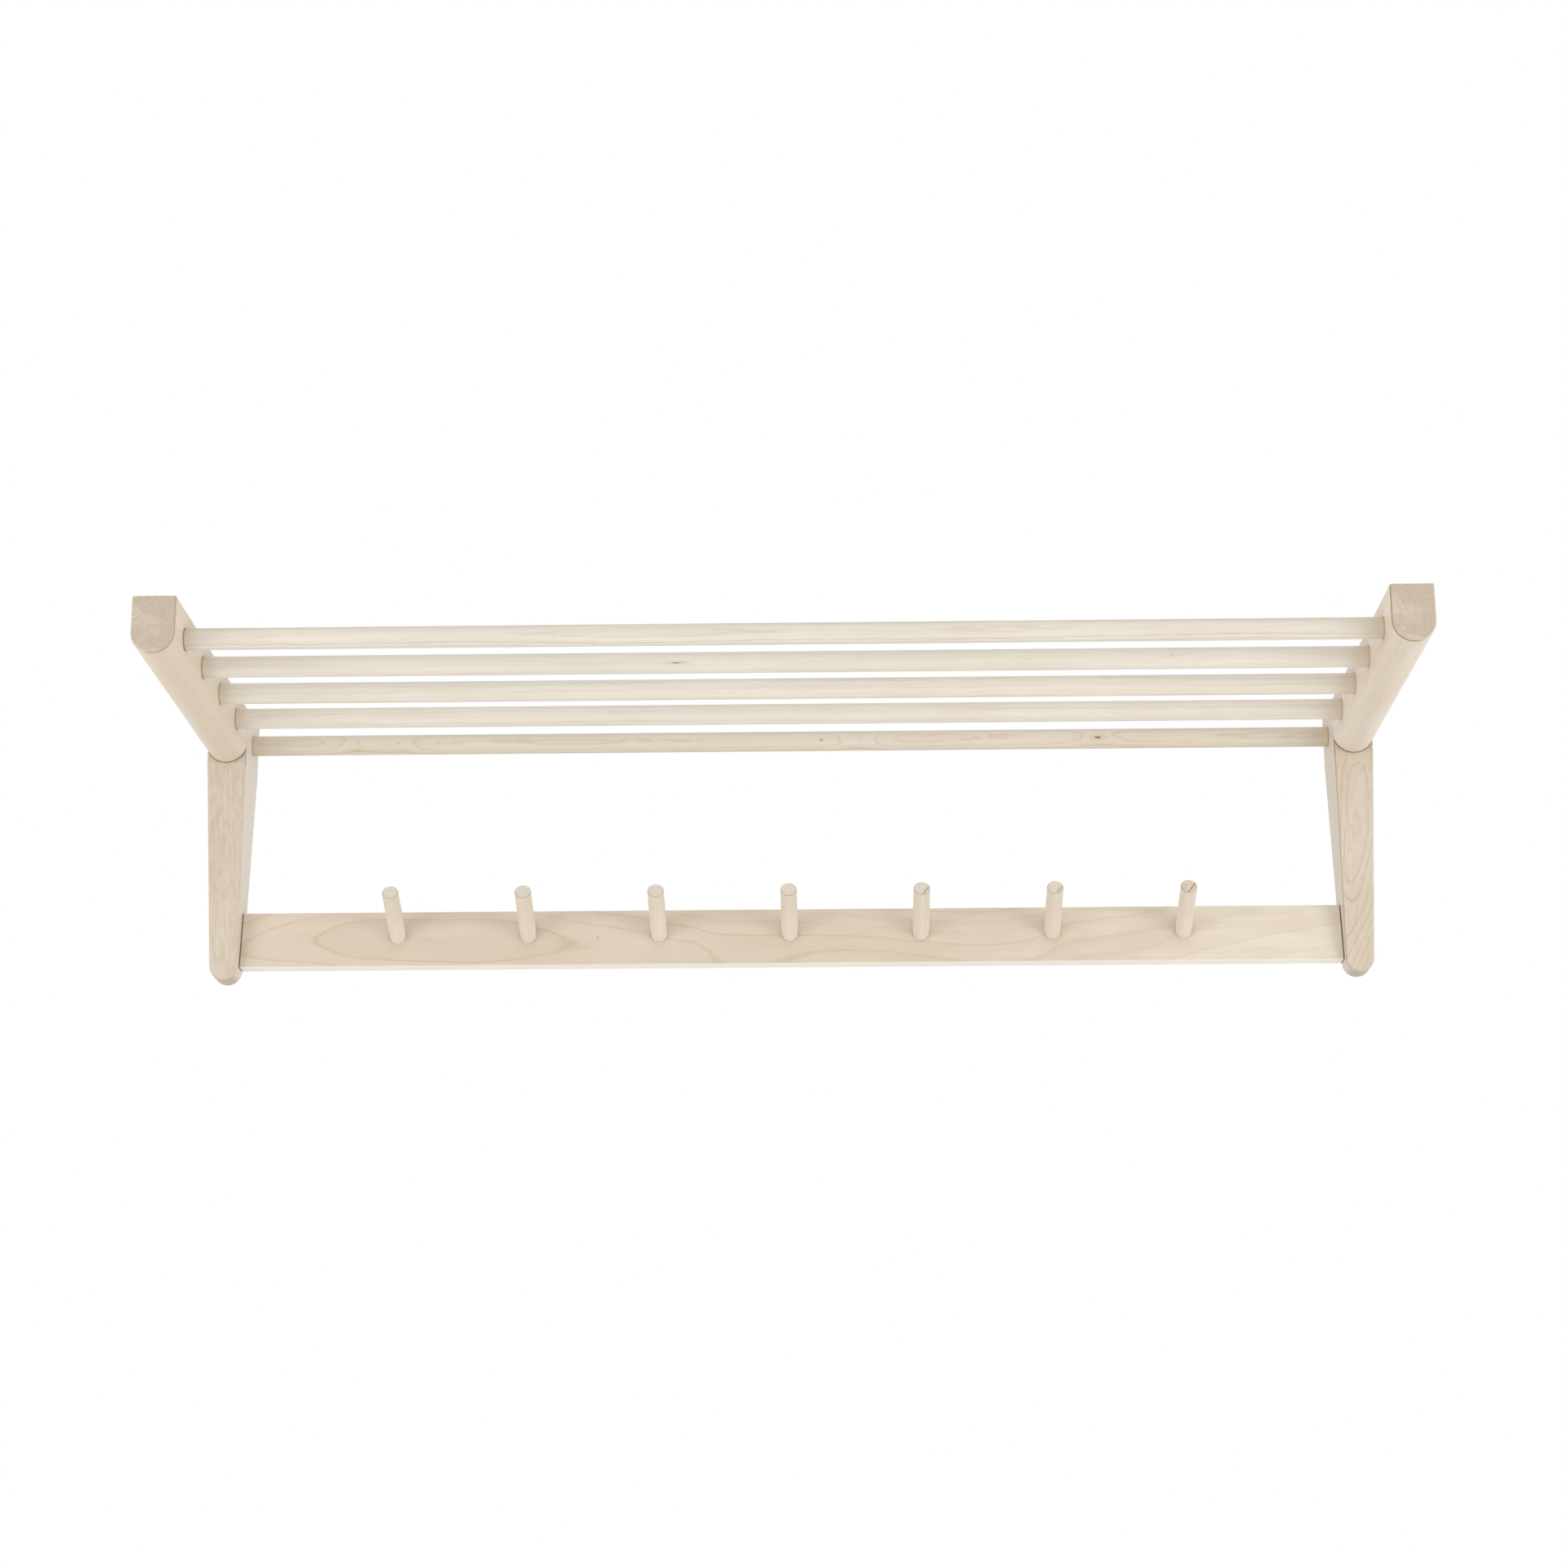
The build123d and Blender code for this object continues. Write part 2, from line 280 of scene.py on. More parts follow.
def turnAcross(spot, angle):
    # the two directions across the grain, turned by an angle
    _, y, z = split(spot)
    sine, cosine = calc("SINE", angle), calc("COSINE", angle)
    return y * cosine + z * sine, z * cosine - y * sine


def makeEndFace():
    # how far a face looks along the grain, and the pores and fine lines that show there
    tree, taken, given = newTree("endFace", {
        "Place": origin, "Normal": origin, "Grain": (1.0, 0.0, 0.0), "Ray Angle": 0.6,
    }, ["End", "Rim", "Pores", "Mottle", "Rays"])
    endOn = abs(calc("DOT_PRODUCT", taken["Normal"], taken["Grain"]))
    feed(given["End"], ramp(endOn, 0.55, 0.97))
    feed(given["Rim"], ramp(endOn, 0.08, 0.4) * ramp(endOn, 0.8, 0.985, 1.0, 0.0))
    flat = taken["Place"] * (0.1, 1.0, 1.0)
    dots = place("ShaderNodeTexVoronoi", {"Scale": 1.7, "Randomness": 1.0, "Vector": flat}, "Distance")
    feed(given["Pores"], ramp(dots, 0.08, 0.3, 1.0, 0.0))
    feed(given["Mottle"], ramp(noise(flat, 0.42, 4.0, 0.62), 0.35, 0.66))
    # fine lines across the end, strong in some patches and gone in others
    along, across = turnAcross(taken["Place"], taken["Ray Angle"])
    lines = noise(triple(along * 0.08, across * 1.9), 1.0)
    patches = noise(flat, 0.11, 1.0)
    feed(given["Rays"], ramp(lines, 0.42, 0.62) * ramp(patches, 0.4, 0.62))
    return tree


def makeSeatShade():
    # the dark glue line round evenly spaced round seats, on the face they enter, and a painted contact shadow
    # fading out round them (Halo)
    tree, taken, given = newTree("seatShade", {
        "Along": 0.0, "Across": 0.0, "First": 0.0, "Pitch": 50.0, "Count": 4.0, "Radius": 7.0,
        "Line": 0.5, "Halo": 5.0,
    }, ["Line", "Halo"])
    steps = (taken["Along"] - taken["First"]) / taken["Pitch"]
    near = calc("MINIMUM", calc("ROUND", steps), taken["Count"] - 1.0)
    off = (steps - calc("MAXIMUM", near, 0.0)) * taken["Pitch"]
    gap = calc("SQRT", off * off + taken["Across"] * taken["Across"]) - taken["Radius"]
    feed(given["Line"], ramp(abs(gap), 0.0, taken["Line"], 1.0, 0.0))
    feed(given["Halo"], ramp(gap, 0.0, taken["Halo"], 1.0, 0.0))
    return tree


def makePinKnot():
    # one small knot on one rod: dark core, browner wood round it, rings pushed aside
    tree, taken, given = newTree("pinKnot", {
        "Place": origin, "Spot": origin, "Size": 1.5, "Stretch": 1.7, "Rod": 0.0, "Only": 0.0,
        "Push": 0.0, "Push Size": 6.0,
    }, ["Core", "Halo", "Swell"])
    away = taken["Place"] - taken["Spot"]
    ragged = (noise(taken["Place"], 0.7, 2.0, 0.6) - 0.5) * 1.1
    off = calc("LENGTH", away * triple(1.0 / taken["Stretch"], 1.0, 1.0)) / taken["Size"] + ragged
    wide = calc("LENGTH", away * (0.45, 1.0, 1.0)) / taken["Push Size"]
    shown = same(taken["Rod"], taken["Only"])
    feed(given["Core"], shown * ramp(off, 0.45, 1.0, 1.0, 0.0))
    feed(given["Halo"], shown * ramp(off, 0.6, 3.6, 1.0, 0.0))
    feed(given["Swell"], shown * (ramp(wide, 0.0, 1.6, 1.0, 0.0) * taken["Push"]))
    return tree


def makeDryingCheck():
    # a hairline split across a rod's end, to one side of its middle
    tree, taken, given = newTree("dryingCheck", {
        "Place": origin, "Angle": 0.8, "Width": 0.3, "Start": -1.0, "Offset": 3.0, "Stain": 0.0,
    }, ["Split"])
    along, across = turnAcross(taken["Place"], taken["Angle"])
    ragged = (noise(taken["Place"], 0.55, 3.0, 0.6) - 0.5) * 0.9
    across = across + taken["Offset"] + ragged
    line = ramp(abs(across), 0.0, taken["Width"], 1.0, 0.0)
    line = calc("MAXIMUM", line, calc("LESS_THAN", across, 0.0) * taken["Stain"])
    feed(given["Split"], line * ramp(along - taken["Start"], 0.0, 1.5))
    return tree


solidWood, endFace, seatShade = makeSolidWood(), makeEndFace(), makeSeatShade()
pinKnot, dryingCheck = makePinKnot(), makeDryingCheck()
print("shared effects built")


# pale wood, matt, lightly whitened
woodLook = {
    "pale": srgb(229, 216, 199),      # body of the wood
    "light": srgb(240, 231, 217),     # painted light, palest towards one end
    # painted light on faces that look along one axis
    "sideLightPaint": srgb(221, 211, 197),
    "warm": srgb(217, 201, 181),      # slow clouds in it
    "ring": srgb(186, 163, 137),      # dark edge of a ring
    "streak": srgb(206, 188, 166),
    "fleck": srgb(174, 149, 121),
    "shadeBrown": srgb(201, 182, 158),   # painted shade beside a socket; the darker rods take it too
    "end": srgb(193, 179, 161),       # end grain soaks up more finish
    "endRing": srgb(172, 157, 136),
    "ray": srgb(216, 205, 188),       # fine lines across an end
    "rim": srgb(158, 135, 108),       # darker edge round an end
    "seat": srgb(96, 76, 56),         # glue line and seams
    "knot": srgb(120, 90, 64),
}
# satin lacquer
finish = {"roughness": 0.44, "sheen": 0.5, "fibreRough": 0.1, "rimGloss": 0.12, "reliefDepth": 0.12}
# what a piece of wood has unless its own dictionary says otherwise
plainWood = {"jitter": 0.5, "fleckLength": 6.0, "rayAngle": 35, "endRings": 0.5, "mottle": 0.5,
    "pores": 0.1, "rays": 0.0, "bump": 0.25, "rods": False, "hearts": [], "figured": [], "knots": [],
    "splits": [], "seams": []}
plainKnot = {"stretch": 1.7, "rod": 0.0, "push": 0.0, "pushSize": 6.0, "depth": 0.9}


def objectPlace():
    return place("ShaderNodeTexCoord", output="Object")


def woodPlace(look):
    # where a point lies in the log, in millimetres, which rod it is on, and the seed of its grain
    if look["rods"]:
        rod = place("ShaderNodeAttribute", output="Fac", attribute_name="rodNumber")
        return place("ShaderNodeAttribute", output="Vector", attribute_name="rodPlace"), rod, rod * 7.37
    spot = place("ShaderNodeMapping", {"Vector": objectPlace() - look["middle"], "Scale": toMillimetres,
        "Rotation": tuple(math.radians(value) for value in look["turn"])})
    return spot, 0.0, look["seed"]


def woodHeart(look, spot, rod):
    # where the heart of the log lies, and how far the rings sway round it
    heart = {"Heart Y": look["heart"][0], "Heart Z": look["heart"][1]}
    sway = look["sway"]
    for row, socket in enumerate(heart):
        # each rod is cut from another place in the log
        for number, shift in enumerate(look["hearts"], start=1):
            heart[socket] = onRod(rod, number, shift[row], heart[socket])
    for number, _, extra in look["figured"]:
        sway = onRod(rod, number, extra, sway)
    if "heartPath" in look:
        # the heart wanders along the board, which draws the pointed arches
        run = ramp(split(spot)[0], -look["halfLength"], look["halfLength"], smooth=False)
        heart = {socket: curveThrough(run, points) for socket, points in look["heartPath"].items()}
    return {**heart, "Sway": sway}


def woodKnots(look, spot, rod):
    marks, swell = [], 0.0
    for own in look["knots"]:
        knot = {**plainKnot, **own}
        made = useGroup(pinKnot, {"Place": spot, "Spot": knot["spot"], "Size": knot["size"],
            "Stretch": knot["stretch"], "Rod": rod, "Only": knot["rod"], "Push": knot["push"],
            "Push Size": knot["pushSize"]})
        marks.append((made, knot["depth"]))
        if "push" in own:
            swell = swell + made["Swell"]
    return marks, swell


def socketLayers(look, along, rod):
    # painted shade on the wood just outside a socket, and a dark glue line right at the socket
    start, stop, reach, reachFar, strength = look["socketShadow"]
    near = calc("MINIMUM", along - start, stop - along)
    side = calc("GREATER_THAN", along, (start + stop) / 2)
    reach = calc("MULTIPLY_ADD", side, reachFar - reach, reach)
    depth = 0.0
    for number, (left, right) in enumerate(look["collar"]["depths"], start=1):
        depth = onRod(rod, number, calc("MULTIPLY_ADD", side, right - left, left), depth)
    collar = ramp(near, 0.0, look["collar"]["width"], 1.0, 0.0) * depth
    return [(ramp(near, 0.0, reach, 1.0, 0.0), strength, "shadeBrown"),
        (collar, look["collar"]["strength"], "seat")]


def bodyColour(look, colours, wood, spot, rod, normal):
    # from the slowest change to the finest, then what lies on top of the grain
    layers, rings = [], wood["Rings"]
    for number, factor, _ in look["figured"]:
        rings = rings * onRod(rod, number, factor - 1, 1.0)
    if "paintedLightTowards" in look:
        # painted light: palest towards one end, where the rings fade too
        start, stop, strength, ringsLeft = look["paintedLightTowards"]
        along = split(spot)[0]
        rings = rings * ramp(along, start, stop, 1.0, ringsLeft)
        layers.append((ramp(along, start, stop), strength, "light"))
    layers += [(wood["Clouds"], look["clouds"], "warm"), (wood["Tone"], look["tones"], "warm"),
        (wood["Streaks"], look["streaks"], "streak"), (wood["Fibres"], look["fibres"], "streak"),
        (wood["Flecks"], look["flecks"], "fleck"), (rings, look["rings"], "ring")]
    if "darkRods" in look:
        first, last, strength = look["darkRods"]
        layers.append((ramp(rod, first, last), strength, "shadeBrown"))
    if "socketShadow" in look:
        layers += socketLayers(look, split(spot)[0], rod)
    if "paintedSideLight" in look:
        # painted light: faces along this axis are made paler than the front
        axis, strength = look["paintedSideLight"]
        layers.append((facing(normal, axis, 0.5, 0.9, bothWays=True), strength, "sideLightPaint"))
    colour = colours["pale"]
    for mask, strength, name in layers:
        colour = tint(colour, mask, strength, colours[name])
    return colour


def endColour(look, colours, wood, ends, rod):
    # end grain: darker, ringed and open-pored, with fine lines
    mottle = look["mottle"]
    if "mottledRod" in look:
        mottle = onRod(rod, *look["mottledRod"], mottle)
    colour = tint(colours["end"], wood["Rings"], look["endRings"], colours["endRing"])
    colour = tint(colour, ends["Mottle"], mottle, colours["endRing"])
    colour = tint(colour, ends["Pores"], look["pores"], colours["fleck"])
    return tint(colour, ends["Rays"], look["rays"], colours["ray"])


def addEdges(colour, look, colours, ends, normal):
    # darker rims round the ends, and painted shade on the long edges beside the front
    rim = ends["Rim"]
    if "rimSide" in look:
        rim = rim * ramp(calc("DOT_PRODUCT", normal, look["rimSide"]), 0.0, 0.5, 0.05, 1.0)
    colour = tint(colour, rim, look["rim"], colours["rim"])
    if "edges" in look:
        side, strength = look["edges"]
        toSide, toFront = [calc("DOT_PRODUCT", normal, axis) for axis in ((side, 0, 0), (0, -1, 0))]
        colour = tint(colour, ramp(toSide * toFront, 0.15, 0.45), strength, colours["ring"])
    return colour


def addSplits(colour, look, colours, spot, rod, ends):
    for check in look["splits"]:
        line = useGroup(dryingCheck, {"Place": spot, "Angle": look["splitAngle"], "Width": check["width"],
            "Start": check["start"], "Offset": check["offset"], "Stain": check["stain"]})["Split"]
        colour = tint(colour, line * same(rod, check["rod"]) * ends["End"], 0.8, colours["knot"])
    return colour


def addJoints(colour, look, colours, normal):
    world = dict(zip("XYZ", split(objectPlace())))
    if "seats" in look:
        seats = look["seats"]
        across = (world["Z"] * perMetre - seats["level"]) * seats.get("squash", 1.0)
        shade = useGroup(seatShade, {"Along": world[seats["along"]] * perMetre, "Across": across,
            "First": seats["first"], "Pitch": seats["pitch"], "Count": seats["count"],
            "Radius": seats["radius"], "Line": seats["line"], "Halo": seats["shadowReach"]})
        seen = facing(normal, seats["facing"], 0.6, 0.9)
        # painted contact shadow round the seats, in the ring colour
        colour = tint(colour, shade["Halo"] * seen, seats["shadowStrength"], colours["ring"])
        colour = tint(colour, shade["Line"] * seen, seats["lineStrength"], colours["seat"])
    for seam in look["seams"]:
        # a dark line where the piece meets its neighbour, along a plane that may lean
        off = world[seam["axis"]] * perMetre + world["Z"] * (perMetre * seam.get("lean", 0.0))
        line = ramp(abs(off - seam["at"]), 0.0, seam["width"], 1.0, 0.0)
        if "facing" in seam:
            line = line * facing(normal, seam["facing"], 0.6, 0.9, bothWays=True)
        colour = tint(colour, line, seam["strength"], colours["seat"])
    return colour


def woodMaterial(name, own):
    # own: the piece's own dictionary; rods bring their own coordinates along as attributes
    material = openNodes(bpy.data.materials.new(name))
    look = {**plainWood, **own}
    colours = {**woodLook, **look.get("colours", {})}
    normal = place("ShaderNodeNewGeometry", output="Normal")
    spot, rod, seed = woodPlace(look)
    knots, swell = woodKnots(look, spot, rod)
    wood = useGroup(solidWood, {"Place": spot, "Seed": seed, "Swell": swell, "Ring Width": look["ringWidth"],
        "Sway Length": look["swayLength"], "Jitter": look["jitter"], "Fleck Length": look["fleckLength"],
        **woodHeart(look, spot, rod)})
    ends = useGroup(endFace, {"Place": spot, "Normal": normal, "Grain": look["grain"],
        "Ray Angle": math.radians(look["rayAngle"])})
    colour = bodyColour(look, colours, wood, spot, rod, normal)
    for marks, depth in knots:
        colour = tint(colour, marks["Halo"], 0.5 * depth, colours["ring"])
        colour = tint(colour, marks["Core"], depth, colours["knot"])
    colour = tint(colour, ends["End"], 1.0, endColour(look, colours, wood, ends, rod))
    colour = addEdges(colour, look, colours, ends, normal)
    colour = addSplits(colour, look, colours, spot, rod, ends)
    if "seats" in look or look["seams"]:
        colour = addJoints(colour, look, colours, normal)
    rough = wood["Fibres"] * finish["fibreRough"] + finish["roughness"]
    height = wood["Fibres"] * -0.5 + wood["Rings"] * 0.35 - wood["Flecks"] * 0.5
    height = height - ends["Pores"] * ends["End"] * 0.8
    relief = place("ShaderNodeBump", {"Height": height, "Strength": look["bump"],
        "Distance": finish["reliefDepth"] * mm})
    addSurface({"IOR": 1.45, "Specular IOR Level": finish["sheen"], "Base Color": colour, "Normal": relief,
        "Roughness": calc("SUBTRACT", rough, ends["Rim"] * finish["rimGloss"], clamp=True)})
    return material


zincLook = {"colour": srgb(196, 197, 194), "dull": srgb(164, 166, 164), "roughness": 0.36, "brush": 0.25,
    "cloudCells": 420.0, "cloudRough": 0.14, "lineCells": (6000, 6000, 300), "lineDepth": 0.02}


def zincMaterial():
    # zinc plating: cloudy bright metal with fine rolling lines
    material = openNodes(bpy.data.materials.new("zincPlating"))
    spot = objectPlace()
    clouds = ramp(noise(spot, zincLook["cloudCells"], 3.0, 0.6), 0.3, 0.7)
    lines = noise(spot * zincLook["lineCells"], 1.0)
    relief = place("ShaderNodeBump", {"Height": lines, "Strength": zincLook["brush"],
        "Distance": zincLook["lineDepth"] * mm})
    addSurface({"Metallic": 1.0, "Base Color": mix(clouds, zincLook["colour"], zincLook["dull"]),
        "Roughness": zincLook["roughness"] + clouds * zincLook["cloudRough"], "Normal": relief})
    return material


def dress(node, material):
    for slot in nodes[node].material_slots:
        slot.material = material


def middleOf(node):
    low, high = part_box(node)
    return (Vector(low) + Vector(high)) / 2


def shape(kind, inputs=None, **settings):
    # a geometry node whose first output goes on to the next one
    return place("GeometryNode" + kind, inputs, **settings)


def here():
    return shape("InputPosition")


def joined(*shapes):
    node = addNode("GeometryNodeJoinGeometry")
    for part in reversed(shapes):
        feed(node.inputs[0], part)
    return Wire(node.outputs[0])


def turning(angles):
    return place("FunctionNodeEulerToRotation", {0: angles})


def turned(part, x=0.0, y=0.0):
    return shape("Transform", {"Geometry": part, "Rotation": turning((x, y, 0.0))})


def moved(part, by):
    return shape("Transform", {"Geometry": part, "Translation": by})


def named(part, name, value, kind="FLOAT", domain="POINT"):
    inputs = {"Geometry": part, "Name": name, "Value": value}
    return shape("StoreNamedAttribute", inputs, data_type=kind, domain=domain)


def setPlace(part, position):
    return shape("SetPosition", {"Geometry": part, "Position": position})


def pushed(part, direction, distance):
    offset = place("ShaderNodeVectorMath", {0: direction, "Scale": distance}, operation="SCALE")
    return shape("SetPosition", {"Geometry": part, "Offset": offset})


def smoothSides(part, along):
    # smooth shading everywhere but on the flat ends and across sharp edges
    flat, sharp = 0.9999, math.radians(35)
    endOn = abs(calc("DOT_PRODUCT", shape("InputNormal"), along))
    side = calc("LESS_THAN", endOn, flat)
    part = shape("SetShadeSmooth", {"Geometry": part, "Shade Smooth": side}, domain="FACE")
    gentle = calc("LESS_THAN", place("GeometryNodeInputMeshEdgeAngle", output="Unsigned Angle"), sharp)
    return shape("SetShadeSmooth", {"Geometry": part, "Shade Smooth": gentle}, domain="EDGE")


def plainMesh(scratch):
    return bpy.data.meshes.new_from_object(scratch.evaluated_get(bpy.context.evaluated_depsgraph_get()))


def makePiece(name, tree, values, replaced):
    # run a tree once with these values, keep what it gives as a plain mesh and hand it to the frame
    scratch = addObject(name + "Scratch", bpy.data.meshes.new(name + "Scratch"))
    modifier = scratch.modifiers.new("shape", "NODES")
    modifier.node_group = tree
    for item in tree.interface.items_tree:
        if item.item_type == "SOCKET" and item.in_out == "INPUT" and item.name in values:
            modifier[item.identifier] = values[item.name]
    mesh = plainMesh(scratch)
    scratch.modifiers.remove(modifier)
    scratch.data = mesh
    # flat faces keep flat shading right up to their eased edges
    even = scratch.modifiers.new("evenShading", "WEIGHTED_NORMAL")
    even.keep_sharp, even.weight = True, 100
    mesh = plainMesh(scratch)
    bpy.data.objects.remove(scratch)
    mesh.name = name
    piece = addObject(name, mesh)
    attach(piece, "root")
    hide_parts(*replaced)
    print("made", name, len(mesh.polygons), "faces")


def inMetres(sizes):
    return {name: value * mm for name, value in sizes.items()}


def finishShape(given, part, material):
    part = shape("RealizeInstances", {"Geometry": part})
    feed(given[0], shape("SetMaterial", {"Geometry": part, "Material": material}))


def rowOfBores(sides, radius, depth, turn, count, start, step):
    # blind holes: cylinders that reach as far out of the face as into it
    bore = turned(shape("MeshCylinder", {"Vertices": sides, "Radius": radius, "Depth": depth * 2.0}), **turn)
    spots = shape("MeshLine", {"Count": count, "Start Location": start, "Offset": step})
    return shape("InstanceOnPoints", {"Points": spots, "Instance": bore})


def makeArmTree(takes):
    # one section swept front to back, then bored for bars and dowels
    tree, size, given = newTree("armShape", takes)
    # the outline: a rectangle whose lower corners are rounded into a half circle
    outline = shape("CurvePrimitiveQuadrilateral", {"Width": size["Width"], "Height": size["Height"]})
    under = calc("GREATER_THAN", split(here())[1], 0.0)   # the sweep turns the outline upside down
    nearlyHalf = 0.4995
    radius = size["Top Ease"] + under * (size["Width"] * nearlyHalf - size["Top Ease"])
    easePoints, roundPoints = 5.0, 24.0
    points = easePoints + under * (roundPoints - easePoints)
    outline = shape("FilletCurve", {"Curve": outline, "Count": points, "Radius": radius}, mode="POLY")
    # the line it follows, with close steps where the end is eased
    easeSteps, bodySteps = 6, 14
    count = shape("InputIndex")
    bend = calc("DIVIDE", count, easeSteps, clamp=True) * quarterTurn
    run = calc("DIVIDE", count - easeSteps, bodySteps, clamp=True)
    forward = size["End Ease"] * (1.0 - calc("COSINE", bend))
    onward = run * (size["Length"] - size["End Ease"])
    line = shape("CurvePrimitiveLine", {"End": (0, 1, 0)})
    line = shape("ResampleCurve", {"Curve": line, "Count": easeSteps + bodySteps + 1})
    line = setPlace(line, triple(y=size["Front"] + (forward + onward)))
    line = named(line, "inset", size["End Ease"] * (1.0 - calc("SINE", bend)))
    body = shape("CurveToMesh", {"Curve": line, "Profile Curve": outline, "Fill Caps": True})
    # pull the end in by the ease, a little unevenly, as sanding by hand leaves it
    outward = calc("NORMALIZE", shape("InputNormal") * (1, 0, 1))
    wavesPerMetre, waveMiddle = 190.0, 0.35
    uneven = 1.0 + (noise(here(), wavesPerMetre, 1.0) - waveMiddle) * size["Hand Sanding"]
    inset = shape("InputNamedAttribute", {"Name": "inset"}, data_type="FLOAT")
    body = pushed(body, outward, inset * uneven * -1.0)
    centreZ = size["Top Z"] - size["Height"] / 2.0
    body = moved(body, triple(size["Middle X"], z=centreZ))
    # bar sockets in the inner side, dowel holes in the rear end
    face = size["Middle X"] + size["Inner Side"] * (size["Width"] / 2.0)
    sockets = rowOfBores(56, size["Socket Radius"], size["Socket Depth"], {"y": quarterTurn}, size["Sockets"],
        triple(face, size["First Socket"], size["Socket Z"]), triple(y=size["Socket Pitch"]))
    low = centreZ - size["Dowel Spacing"] / 2.0
    drills = rowOfBores(32, size["Dowel Radius"], size["Dowel Depth"], {"x": quarterTurn}, 2,
        triple(size["Middle X"], size["Front"] + size["Length"], low), triple(z=size["Dowel Spacing"]))
    cutters = shape("RealizeInstances", {"Geometry": joined(sockets, drills)})
    body = shape("MeshBoolean", {"Mesh 1": body, "Mesh 2": cutters}, operation="DIFFERENCE", solver="EXACT")
    finishShape(given, smoothSides(body, (0, 1, 0)), size["Wood"])
    return tree


def makeRodTree():
    # one round rod, standing on its start: the shape behind the bars, the pegs and the joint dowels
    tree, size, given = newTree("roundRod", {
        "Length": 0.1, "Radius": 0.006, "End Radius": 0.006, "Taper From": 0.0, "Start Ease": 0.0,
        "End Ease": 0.0, "Sides": 40, "Steps": 16, "Flutes": 0.0, "Flute Depth": 0.0,
    })
    rod = shape("MeshCylinder", {"Vertices": size["Sides"], "Side Segments": size["Steps"],
        "Fill Segments": 3, "Radius": size["Radius"], "Depth": size["Length"]}, fill_type="NGON")
    x, y, z = split(here())
    # which step along the rod a point is on, then eased round at both ends
    easeSteps = 3.0
    step = calc("ROUND", size["Steps"] * (0.5 + z / size["Length"]))
    startBend, endBend = [quarterTurn * calc("SUBTRACT", 1.0, far / easeSteps, clamp=True)
        for far in (step, size["Steps"] - step)]
    straight = calc("DIVIDE", step - easeSteps, size["Steps"] - easeSteps * 2, clamp=True)
    plain = size["Length"] - size["Start Ease"] - size["End Ease"]
    eased = size["Start Ease"] * (1.0 - calc("SINE", startBend)) + size["End Ease"] * calc("SINE", endBend)
    along = straight * plain + eased
    drawn = size["Start Ease"] * (1.0 - calc("COSINE", startBend))
    drawn = drawn + size["End Ease"] * (1.0 - calc("COSINE", endBend))
    flute = (0.5 + 0.5 * calc("COSINE", size["Flutes"] * calc("ARCTAN2", y, x))) * size["Flute Depth"]
    run = calc("DIVIDE", along - size["Taper From"], size["Length"] - size["Taper From"], clamp=True)
    less = run * (size["Radius"] - size["End Radius"]) + (drawn + flute)
    keep = 1.0 - less / size["Radius"]
    sideX, sideY = x * keep, y * keep
    # the rod's own coordinates in millimetres, X along it, for the wood; stored while the points are unmoved
    rod = named(rod, "rodPlace", triple(along, sideX, sideY) * toMillimetres, kind="FLOAT_VECTOR")
    rod = setPlace(rod, triple(sideX, sideY, along))
    feed(given[0], smoothSides(rod, (0, 0, 1)))
    return tree


def setRods(size, given, rod, shift, spots, turn, wander):
    # the rod, shifted along itself, goes to each spot; rods are numbered and get the waves of sanding
    rod = moved(shape("Group", rod, node_tree=rodTree), triple(z=shift))
    rods = shape("InstanceOnPoints", {"Points": spots, "Instance": rod, "Rotation": turning(turn)})
    rods = named(rods, "rodNumber", shape("InputIndex") + 1.0, domain="INSTANCE")
    rods = shape("RealizeInstances", {"Geometry": rods})
    wavesPerMetre, waveMiddle = 45.0, 0.55
    wave = (noise(here(), wavesPerMetre, 1.0) - waveMiddle) * wander
    rods = pushed(rods, shape("InputNormal"), wave)
    feed(given[0], shape("SetMaterial", {"Geometry": rods, "Material": size["Wood"]}))


def makeBarTree(takes):
    tree, size, given = newTree("shelfBars", takes)
    bar = {"Length": size["Length"], "Radius": size["Radius"], "End Radius": size["Radius"],
        "Start Ease": size["Ease"], "End Ease": size["Ease"], "Sides": 44, "Steps": 60}
    onArms = shape("MeshLine", {"Count": size["Arm Bars"], "Offset": triple(y=size["Pitch"]),
        "Start Location": triple(y=size["First Y"], z=size["Level"])})
    onUprights = shape("MeshLine", {"Count": 1, "Start Location": triple(y=size["Rear Y"], z=size["Level"])})
    setRods(size, given, bar, size["Length"] / -2.0, joined(onArms, onUprights), (0, quarterTurn, 0),
        size["Hand Sanding"])
    return tree


def makePegTree(takes):
    tree, size, given = newTree("pegRow", takes)
    peg = {"Length": size["Reach"] + size["Seat"], "Radius": size["Radius"], "End Radius": size["Tip Radius"],
        "Taper From": size["Seat"], "End Ease": size["Tip Ease"], "Sides": 48, "Steps": 18}
    first = size["Pitch"] * ((size["Pegs"] - 1.0) * -0.5)
    spots = shape("MeshLine", {"Count": size["Pegs"], "Offset": triple(x=size["Pitch"]),
        "Start Location": triple(first, size["Face Y"], size["Level"])})
    # an upright peg is tipped towards the room until it leans up by the given angle
    turn = triple(x=quarterTurn - size["Lean"])
    setRods(size, given, peg, size["Seat"] * -1.0, spots, turn, size["Hand Sanding"])
    return tree


def makeDowelTree(takes):
    tree, size, given = newTree("dowelPair", takes)
    dowel = {"Length": size["Length"], "Radius": size["Radius"], "End Radius": size["Radius"], "Sides": 84,
        "Start Ease": size["Ease"], "End Ease": size["Ease"], "Steps": 8, "Flutes": size["Flutes"],
        "Flute Depth": size["Flute Depth"]}
    spots = shape("MeshLine", {"Count": 2, "Offset": triple(z=size["Spacing"]),
        "Start Location": size["Middle"] - triple(z=size["Spacing"] / 2.0)})
    setRods(size, given, dowel, size["Length"] / -2.0, spots, size["Turn"], 0.0)
    return tree


